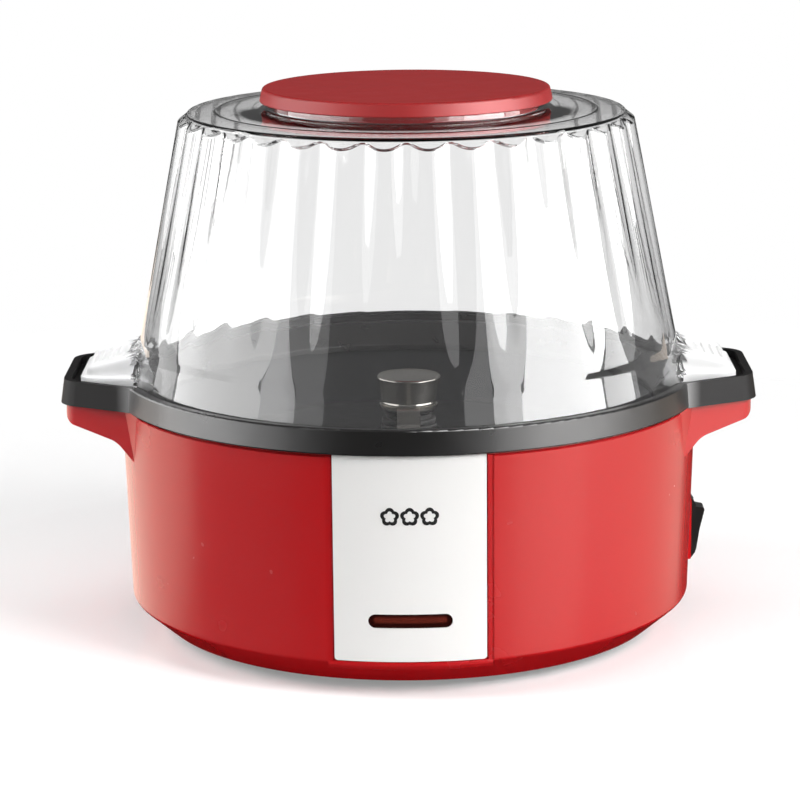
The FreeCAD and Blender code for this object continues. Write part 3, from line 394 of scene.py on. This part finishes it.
def moved_in(corners, inset):
    """The inner corners of an open outline, set in square to each of its edges."""
    corners = [np.array(corner, float) for corner in corners]
    normals = []
    for here, there in zip(corners, corners[1:]):
        way = (there - here) / np.linalg.norm(there - here)
        normals.append(np.array((-way[1], way[0])))
    moved = []
    for i in range(1, len(corners) - 1):
        back, on = normals[i - 1], normals[i]
        moved.append(corners[i] + (back + on) / (1 + back @ on) * inset)
    return moved


def wall_line(lobe, inset):
    """Section of the pleated wall from the foot to the plateau, for one column."""
    swell = PLEAT_DEPTH * lobe
    crest = (VALLEY_RADIUS + swell, VALLEY_TOP - swell * LEDGE_SLOPE)
    valley = (VALLEY_RADIUS, VALLEY_TOP)
    shoulder = (SHOULDER_RADIUS, SHOULDER_HEIGHT)
    rim = (RIDGE_RADIUS + 1.2, SHOULDER_HEIGHT + 0.55)
    if inset:
        outline = [(WALL_RADIUS, WALL_HEIGHT), crest, valley, shoulder, rim]
        crest, valley, shoulder = moved_in(outline, inset)
        ledge = np.array((-1, LEDGE_SLOPE)) / math.hypot(1, LEDGE_SLOPE)
        lack = max(0.25 - float((valley - crest) @ ledge), 0) / 2
        crest, valley = crest - ledge * lack, valley + ledge * lack
    path = rounded([
        (WALL_RADIUS - inset, WALL_HEIGHT, 0),
        (crest[0], crest[1], 2.0),
        (valley[0], valley[1], 1.2),
        (shoulder[0], shoulder[1], 1.6),
        (rim[0], rim[1] - inset, 0)])
    low, high = path[0], path[1]
    climb = [low + (high - low) * t for t in np.linspace(0, 1, 14)[:-1]]
    return np.array(climb + list(path[1:]))


def foot_line(inset):
    """Section of the plain wall above the tabs, between the seat and the pleats, as (radius, height)."""
    path = rounded([(SEAT_RADIUS - inset, SEAT_HEIGHT, 0), (WALL_RADIUS + 0.6 - inset, 144, 30),
                    (WALL_RADIUS - inset, WALL_HEIGHT, 0)], 6)
    return path


def wall_radius(height, inset):
    """Radius of the plain wall below the pleats at a height."""
    path = foot_line(inset)
    low = [(DOME_FOOT_RADIUS - inset, DOME_LOW)]
    radii = [low[0][0]] + list(path[:, 0])
    heights = [low[0][1]] + list(path[:, 1])
    return np.interp(height, heights, radii)


def outline_radius(angle, inset):
    """Distance from the axis to a tab's outline, moved in by inset, at each angle from its middle."""
    tip, half = TAB_TIP - inset, max(TAB_HALF - inset, 0.6)
    corner = max(TAB_CORNER - inset, 0.4)
    corner = min(corner, half * 0.98)
    a = np.maximum(np.abs(angle), 1e-6)
    straight = tip / np.cos(a)
    side = half / np.sin(a)
    cx, cy = tip - corner, half - corner
    reach, tilt = math.hypot(cx, cy), math.atan2(cy, cx)
    off = reach * np.sin(a - tilt)
    arc = reach * np.cos(a - tilt) + np.sqrt(np.maximum(corner ** 2 - off ** 2, 0))
    on_tip = straight * np.sin(a) <= cy
    on_side = side * np.cos(a) <= cx
    return np.where(on_tip, straight, np.where(on_side, side, arc))


def pad_height(x):
    share = np.clip((TAB_TIP - 4 - x) / 22, 0, 1.3)
    return PAD_TIP_HEIGHT + (PAD_ROOT_HEIGHT - PAD_TIP_HEIGHT) * share


def grip_bars(x, y):
    """Depth of the four recessed bars across a tab's pad."""
    depth = np.zeros_like(x)
    for i in range(4):
        middle = TAB_TIP - 7.5 - 4.2 * i
        across = np.clip(1.5 - np.abs(x - middle), 0, 0.6) / 0.6
        along = np.clip(15 - 0.8 * i - np.abs(y), 0, 1.2) / 1.2
        depth += 0.9 * (across ** 2 * (3 - 2 * across)) * (along ** 2 * (3 - 2 * along))
    return depth


def tab_rings():
    """For each ring over the tabs: its outline's inset, share of the pad's rise, and height on the wall."""
    rings = [(0.9, -0.28, DOME_LOW), (0.25, -0.27, DOME_LOW + 0.15), (0.0, -0.23, DOME_LOW + 0.7),
             (0.0, -0.12, 129.4), (0.0, -0.05, 130.6), (0.3, -0.015, 131.4), (1.0, 0.0, 131.9),
             (2.0, 0.005, 132.4), (2.6, 0.05, 133.0), (2.9, 0.15, 133.8), (3.1, 0.45, 135.2),
             (3.3, 0.70, 136.6),
             (3.7, 0.88, 137.6), (4.4, 0.97, 138.4), (5.4, 1.0, 139.0)]
    count = 34
    for k in range(1, count + 1):
        rings.append((5.4 + 22 * k / count, 1.0, 139.0 + (WALL_HEIGHT - 0.6 - 139.0) * k / count))
    return rings


def tab_ring(angles, ring, inset):
    """One ring of the dome's lower part: round the plain wall, and out over each tab."""
    outline_inset, rise, wall_height = ring
    plain = wall_radius(wall_height, inset) * np.ones_like(angles)
    heights = np.full_like(angles, wall_height)
    points = np.stack([plain * np.cos(angles), plain * np.sin(angles), heights], 1)
    for middle in (0.0, math.pi):
        off = (angles - middle + math.pi) % (2 * math.pi) - math.pi
        near = np.abs(off) < math.radians(TAB_REACH)
        reach = outline_radius(off[near], outline_inset + inset)
        x, y = reach * np.cos(off[near]), reach * np.sin(off[near])
        top = pad_height(x) - (grip_bars(x, y) if rise == 1.0 and inset == 0 else 0)
        height = LIP_TOP + (top - LIP_TOP) * rise if rise > 0 else LIP_TOP + 16.4 * rise
        if rise > -0.1:
            height = height - inset
        over = reach - plain[near]
        soft = 1.6
        out = soft * np.log1p(np.exp(np.clip(over / soft, -30, 30)))
        share = np.clip((over + 3.0) / 5.0, 0, 1)
        share = share * share * (3 - 2 * share)
        fade = np.clip((math.radians(TAB_REACH) - np.abs(off[near])) / math.radians(2), 0, 1)
        radius = plain[near] + out * fade
        z = wall_height + (height - wall_height) * share
        points[near] = np.stack([radius * np.cos(angles[near]), radius * np.sin(angles[near]), z], 1)
    return points


def dome_side(angles, inset):
    """Rings of one face of the dome, outer (inset 0) or inner, from the foot to the plateau."""
    rings = [tab_ring(angles, ring, inset) for ring in tab_rings()]
    lines = [wall_line(lobe, inset) for lobe in lobes(angles)]
    for k in range(len(lines[0])):
        flat = np.array([line[k] for line in lines])
        rings.append(np.stack([flat[:, 0] * np.cos(angles), flat[:, 0] * np.sin(angles), flat[:, 1]], 1))
    return rings


def turned(angles, path):
    """Rings of a plain turned surface along (radius, height) points."""
    return [np.stack([r * np.cos(angles), r * np.sin(angles), np.full_like(angles, z)], 1) for r, z in path]


def make_dome():
    """The clear dome, one closed shell: pleated wall, two ribbed tabs, plateau, neck and vented plate."""
    angles = columns()
    top = rounded([
        (RIDGE_RADIUS + 0.6, SHOULDER_HEIGHT + 0.58, 0), (RIDGE_RADIUS + 0.2, SHOULDER_HEIGHT + 0.85, 0.2),
        (RIDGE_RADIUS - 0.5, SHOULDER_HEIGHT + 0.85, 0.2),
        (RIDGE_RADIUS - 0.9, SHOULDER_HEIGHT + 0.62, 0.2),
        (NECK_RADIUS, NECK_BASE, 1.5), (NECK_RADIUS, NECK_TOP, 0.6), (NECK_RADIUS - WALL, NECK_TOP, 0.6),
        (NECK_RADIUS - WALL, PLATE_TOP, 0.8), (60, PLATE_TOP, 0)])
    under = rounded([(RIDGE_RADIUS, SHOULDER_HEIGHT + 0.6 - WALL, 0),
                     (NECK_RADIUS + 2.5, NECK_BASE - WALL - 0.1, 1.5), (NECK_RADIUS - 0.5, PLATE_LOW, 1.5),
                     (60, PLATE_LOW, 0)])
    outer = dome_side(angles, 0.0) + turned(angles, top)
    inner = dome_side(angles, WALL) + turned(angles, under)
    rings = inner[::-1] + outer
    n = len(angles)
    vertices = np.concatenate(rings)
    faces = []
    for j in range(len(rings) - 1):
        here, there = j * n, (j + 1) * n
        for i in range(n):
            k = (i + 1) % n
            faces.append((here + i, here + k, there + k, there + i))
    faces.append(range(n))
    faces.append(range((len(rings) - 1) * n, len(rings) * n))
    dome = mesh_piece("clear_dome", vertices, faces, "clear_plastic", "dome")
    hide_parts("dome")
    turn_outward(dome.data)
    cut_vents(dome)
    turn_outward(dome.data)
    soften(dome.data, 40)
    give_tabs_haze_and_reflection(dome.data)


def give_tabs_haze_and_reflection(mesh):
    """Give the two grip tabs their whitened faces: partly a haze of the plastic, partly a painted reflection
    of the bright surroundings.
    """
    mesh.materials.append(FINISHES["haze_and_reflection_plastic"])
    for face in mesh.polygons:
        x, y, z = face.center / MM
        if math.hypot(x, y) > 140.5 and z < WALL_HEIGHT:
            face.material_index = 1


def vent_places():
    """Centres of the vent holes, in three circles."""
    return [(radius * math.cos(2 * math.pi * i / count), radius * math.sin(2 * math.pi * i / count))
            for radius, count in ((20, 8), (36, 14), (52, 20)) for i in range(count)]


def cut_vents(dome):
    """Bore the vent holes through the plate in the dome's neck."""
    sides, radius = 16, 2.4
    turns = [2 * math.pi * i / sides for i in range(sides)]
    vertices, faces = [], []
    for x, y in vent_places():
        base = len(vertices)
        for z in (PLATE_LOW - 3, PLATE_TOP + 3):
            vertices += [(x + radius * math.cos(turn), y + radius * math.sin(turn), z) for turn in turns]
        for i in range(sides):
            k = (i + 1) % sides
            faces.append((base + i, base + k, base + sides + k, base + sides + i))
        faces += [range(base + sides - 1, base - 1, -1), range(base + sides, base + 2 * sides)]
    mesh = bpy.data.meshes.new("vent_cutters")
    mesh.from_pydata([tuple(v) for v in np.array(vertices) * MM], [], [tuple(f) for f in faces])
    turn_outward(mesh)
    cutters = bpy.data.objects.new("vent_cutters", mesh)
    bpy.context.scene.collection.objects.link(cutters)
    modifier = dome.modifiers.new("vents", "BOOLEAN")
    modifier.operation = "DIFFERENCE"
    modifier.solver = "MANIFOLD"
    modifier.object = cutters
    result = bpy.data.meshes.new_from_object(dome.evaluated_get(bpy.context.evaluated_depsgraph_get()))
    dome.modifiers.clear()
    dome.data = result
    bpy.data.objects.remove(cutters)


# ---------------------------------------------------------------- panel mark

MARK_HEIGHT = 89.7
PUFF_PITCH, PUFF_RADIUS, PUFF_STROKE, PUFF_LOBES = 9.3, 4.5, 1.7, 5
PUFF_STEPS = 80
MARK_RAISED, MARK_SUNK = 0.12, 0.3


def panel_depth():
    """A function that gives the front panel's depth at x and z."""
    panel = nodes["front_panel"]
    points = [panel.matrix_world @ vertex.co for vertex in panel.data.vertices]
    tree = BVHTree.FromPolygons(points, [tuple(face.vertices) for face in panel.data.polygons])

    def depth(x, z):
        hit = tree.ray_cast(Vector((x * MM, -1, z * MM)), Vector((0, 1, 0)))[0]
        return hit.y / MM
    return depth


def puff_loops(middle, depth):
    """Points of one outlined puff of popcorn: loops over its face, from the hole outward, then its back."""
    loops = []
    face = [(0, MARK_RAISED), (0.5, MARK_RAISED), (1, MARK_RAISED)]
    for share, raised in face + [(1, -MARK_SUNK), (0, -MARK_SUNK)]:
        for angle in np.linspace(0, 2 * math.pi, PUFF_STEPS, endpoint=False):
            lobe = abs(math.cos(PUFF_LOBES * (angle - math.pi / 2) / 2))
            outer = PUFF_RADIUS * (0.8 + 0.2 * lobe)
            radius = outer - PUFF_STROKE * (1 - share)
            x, z = middle + radius * math.cos(angle), MARK_HEIGHT + radius * math.sin(angle)
            loops.append((x, depth(x, z) - raised, z))
    return loops


def make_mark():
    """A row of three popcorn puffs printed on the front panel."""
    depth = panel_depth()
    vertices, faces = [], []
    for middle in (-PUFF_PITCH, 0.0, PUFF_PITCH):
        base = len(vertices)
        vertices += puff_loops(middle, depth)
        for loop in range(5):
            here, there = base + loop * PUFF_STEPS, base + (loop + 1) % 5 * PUFF_STEPS
            for i in range(PUFF_STEPS):
                k = (i + 1) % PUFF_STEPS
                faces.append((here + i, here + k, there + k, there + i))
    mark = mesh_piece("panel_mark", vertices, faces, "black_plastic", "base")
    turn_outward(mark.data)
    soften(mark.data)


# ---------------------------------------------------------------- stage

def soft_box(name, rays, azimuths, elevations, radiance, colour=(1, 1, 1)):
    """A rectangular lamp two metres off that fills these angles, seen from the object.

    Azimuth 0 is in front and 90 to the right. It meets one kind of rays: diffuse, glossy or transmission."""
    distance, middle = 2.0, Vector((0, 0, 0.15))
    around, above = math.radians(sum(azimuths) / 2), math.radians(sum(elevations) / 2)
    level = math.cos(above)
    toward = Vector((math.sin(around) * level, -math.cos(around) * level, math.sin(above)))
    width, height = (2 * distance * math.tan(math.radians(abs(b - a) / 2))
                     for a, b in (azimuths, elevations))
    light = bpy.data.lights.new(name, "AREA")
    light.shape = "RECTANGLE"
    light.size = width
    light.size_y = height
    light.energy = radiance * width * height * math.pi
    light.color = colour
    lamp = bpy.data.objects.new(name, light)
    bpy.context.scene.collection.objects.link(lamp)
    lamp.location = middle + toward * distance
    lamp.rotation_mode = "QUATERNION"
    lamp.rotation_quaternion = (-toward).to_track_quat("-Z", "Y")
    lamp.visible_diffuse = rays == "diffuse"
    lamp.visible_glossy = rays == "glossy"
    lamp.visible_transmission = rays == "transmission"


WARM = (1.0, 0.84, 0.7)


def make_lights():
    """Banks of boxes that show as reflections, others that shine through the dome, and lamps that light."""
    soft_box("left_glow_far", "glossy", (-128, -110), (-8, 42), 2.5)
    soft_box("left_glow", "glossy", (-110, -62), (-8, 42), 8.0)
    soft_box("left_glow_edge", "glossy", (-62, -46), (-4, 42), 5.5)
    soft_box("left_glow_fade", "glossy", (-46, -34), (-2, 42), 1.6)
    soft_box("right_glow_fade", "glossy", (22, 34), (-2, 42), 2.5)
    soft_box("right_glow_edge", "glossy", (34, 46), (-2, 42), 10.0)
    soft_box("right_glow", "glossy", (46, 86), (-2, 42), 18.0)
    soft_box("right_glow_far", "glossy", (86, 104), (-2, 42), 8.0)
    soft_box("left_table_glow", "glossy", (-172, -95), (-24, -8), 1.5, WARM)
    soft_box("right_table_edge", "glossy", (38, 70), (-24, -6), 1.5, WARM)
    soft_box("right_table_glow", "glossy", (70, 140), (-24, -6), 1.1, WARM)
    soft_box("left_through", "transmission", (-130, -50), (-2, 42), 1.6)
    soft_box("right_through", "transmission", (40, 110), (-2, 42), 2.6)
    soft_box("left_fill", "diffuse", (-100, -72), (16, 44), 8.2)
    soft_box("right_fill", "diffuse", (38, 66), (16, 44), 13.5)
    soft_box("front_fill", "diffuse", (-16, 16), (18, 42), 1.6)
    soft_box("top_fill", "diffuse", (-17, 17), (68, 102), 2.4)


def seen_directly(tree):
    """1 for what is seen straight or only through clear pieces, and 0 for what lights or is mirrored."""
    rays = tree.nodes.new("ShaderNodeLightPath")
    bounces = tree.nodes.new("ShaderNodeMath")
    bounces.operation = "ADD"
    tree.links.new(rays.outputs["Diffuse Depth"], bounces.inputs[0])
    tree.links.new(rays.outputs["Glossy Depth"], bounces.inputs[1])
    seen = tree.nodes.new("ShaderNodeMath")
    seen.operation = "SUBTRACT"
    seen.use_clamp = True
    seen.inputs[0].default_value = 1.0
    tree.links.new(bounces.outputs[0], seen.inputs[1])
    return seen.outputs[0]


def make_floor():
    """A pale glossy floor that fades into the white world."""
    mesh = bpy.data.meshes.new("floor")
    half = 3.0
    corners = [(-half, -half, 0), (half, -half, 0), (half, half, 0), (-half, half, 0)]
    mesh.from_pydata(corners, [], [(0, 1, 2, 3)])
    floor = bpy.data.objects.new("floor", mesh)
    bpy.context.scene.collection.objects.link(floor)
    f = Finish("floor", (0.9, 0.9, 0.9, 1.0), 0.09, Emission_Color=(1.0, 1.0, 1.0, 1.0))
    seen = seen_directly(f.tree)
    f.colour(f.mixed(seen, (0.4, 0.4, 0.4, 1.0), (0.95, 0.95, 0.95, 1.0)))
    f.feed(f.bsdf.inputs["Emission Strength"], f.maths("MULTIPLY", seen, 0.26))
    distance = f.node("ShaderNodeVectorMath")
    distance.operation = "LENGTH"
    f.feed(distance.inputs[0], f.place())
    clear = f.node("ShaderNodeBsdfTransparent")
    mix = f.node("ShaderNodeMixShader")
    f.feed(mix.inputs["Fac"], f.between(distance.outputs["Value"], 0.30, 0.8))
    f.feed(mix.inputs[1], f.bsdf.outputs["BSDF"])
    f.feed(mix.inputs[2], clear.outputs["BSDF"])
    f.feed(f.tree.nodes["Material Output"].inputs["Surface"], mix.outputs["Shader"])
    mesh.materials.append(f.material)
    floor.visible_glossy = False
    floor.visible_shadow = False


def make_world():
    """White where it is seen, also through the dome, and pale where the dome's wall turns the sight.

    As light it is dim, dimmest in front, and dark below."""
    world = bpy.data.worlds.new("studio")
    world.use_nodes = True
    bpy.context.scene.world = world
    tree = world.node_tree
    background = tree.nodes["Background"]
    background.inputs["Color"].default_value = (1.0, 1.0, 1.0, 1.0)
    place = tree.nodes.new("ShaderNodeTexCoord")
    parts = tree.nodes.new("ShaderNodeSeparateXYZ")
    tree.links.new(place.outputs["Generated"], parts.inputs[0])

    def ramp(value, low, high, first, last):
        made = tree.nodes.new("ShaderNodeMapRange")
        tree.links.new(value, made.inputs["Value"])
        for socket, number in zip(("From Min", "From Max", "To Min", "To Max"), (low, high, first, last)):
            made.inputs[socket].default_value = number
        return made.outputs["Result"]

    def joined(kind, first, last):
        made = tree.nodes.new("ShaderNodeMath")
        made.operation = kind
        tree.links.new(first, made.inputs[0])
        tree.links.new(last, made.inputs[1])
        return made.outputs[0]

    away, height = parts.outputs["Y"], parts.outputs["Z"]
    low_band = joined("MULTIPLY", ramp(height, 0.02, 0.10, 0.0, 1.0), ramp(height, 0.30, 0.42, 1.0, 0.0))
    horizon = joined("MULTIPLY", low_band, ramp(away, 0.2, 0.6, 0.0, 0.12))
    all_round = joined("MAXIMUM", horizon, ramp(away, -0.7, 0.9, 0.04, 0.14))
    glow = joined("MULTIPLY", all_round, ramp(height, -0.05, 0.0, 0.0, 1.0))
    rays = tree.nodes.new("ShaderNodeLightPath")
    crossings = rays.outputs["Transmission Depth"]
    in_wall = joined("MULTIPLY", ramp(crossings, 0.4, 0.6, 0.0, 0.8), ramp(crossings, 3.4, 3.6, 1.0, 0.0))
    edge = joined("MULTIPLY", in_wall, ramp(rays.outputs["Diffuse Depth"], 0.4, 0.6, 1.0, 0.0))
    strength = joined("MAXIMUM", joined("MAXIMUM", seen_directly(tree), edge), glow)
    tree.links.new(strength, background.inputs["Strength"])


PITCH, ROLL = 12.70, -0.5


def make_camera():
    """Looks along +Y, from above the front, with a long lens."""
    camera = bpy.data.objects.new("camera", bpy.data.cameras.new("camera"))
    bpy.context.scene.collection.objects.link(camera)
    camera.location = (0, -1.5, 0.451)
    camera.rotation_mode = "ZXY"
    camera.rotation_euler = (math.radians(90 - PITCH), 0, math.radians(ROLL))
    camera.data.lens = 136.17
    camera.data.sensor_width = 36
    camera.data.shift_x = -0.01075
    camera.data.clip_start = 0.05
    bpy.context.scene.camera = camera


dress_cad_nodes()
make_dome()
make_mark()
make_floor()
make_world()
make_lights()
make_camera()
bpy.context.scene.view_settings.view_transform = "Standard"
